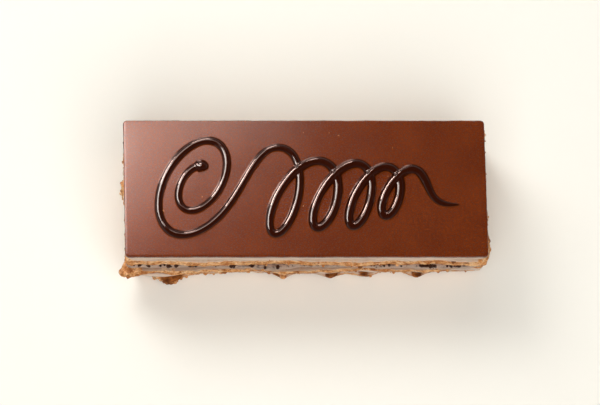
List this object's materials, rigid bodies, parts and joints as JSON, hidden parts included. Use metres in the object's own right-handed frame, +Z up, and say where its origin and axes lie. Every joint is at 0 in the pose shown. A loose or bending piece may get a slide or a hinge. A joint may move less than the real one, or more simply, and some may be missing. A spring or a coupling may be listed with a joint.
{
  "type": "opera cake",
  "caption": "Oblong slice of coffee and chocolate layer cake with straight cut sides, a thin glossy chocolate glaze and a piped chocolate flourish on top.",
  "frame": {"origin": "centre of the foot, under the middle of the slice's outer box", "axes": "+X along the slice from the scroll end to the tail end of the piping, +Y to the back, +Z up"},
  "size_m": [0.1132, 0.0462, 0.0339],
  "materials": {
    "almond_sponge": "open crumb, soaked, matte",
    "coffee_buttercream": "smooth cut cream, soft satin",
    "chocolate_ganache": "smeared by the knife, half gloss",
    "chocolate_glaze": "satin set glaze with a fine grain",
    "piped_chocolate": "wet-looking high gloss"
  },
  "bodies": {
    "root": {"sponge_base": "almond_sponge", "cream_lower": "coffee_buttercream", "sponge_middle": "almond_sponge", "ganache": "chocolate_ganache", "sponge_top": "almond_sponge", "cream_upper": "coffee_buttercream", "glaze": "chocolate_glaze", "piped_flourish": "piped_chocolate"}
  },
  "joints": []
}
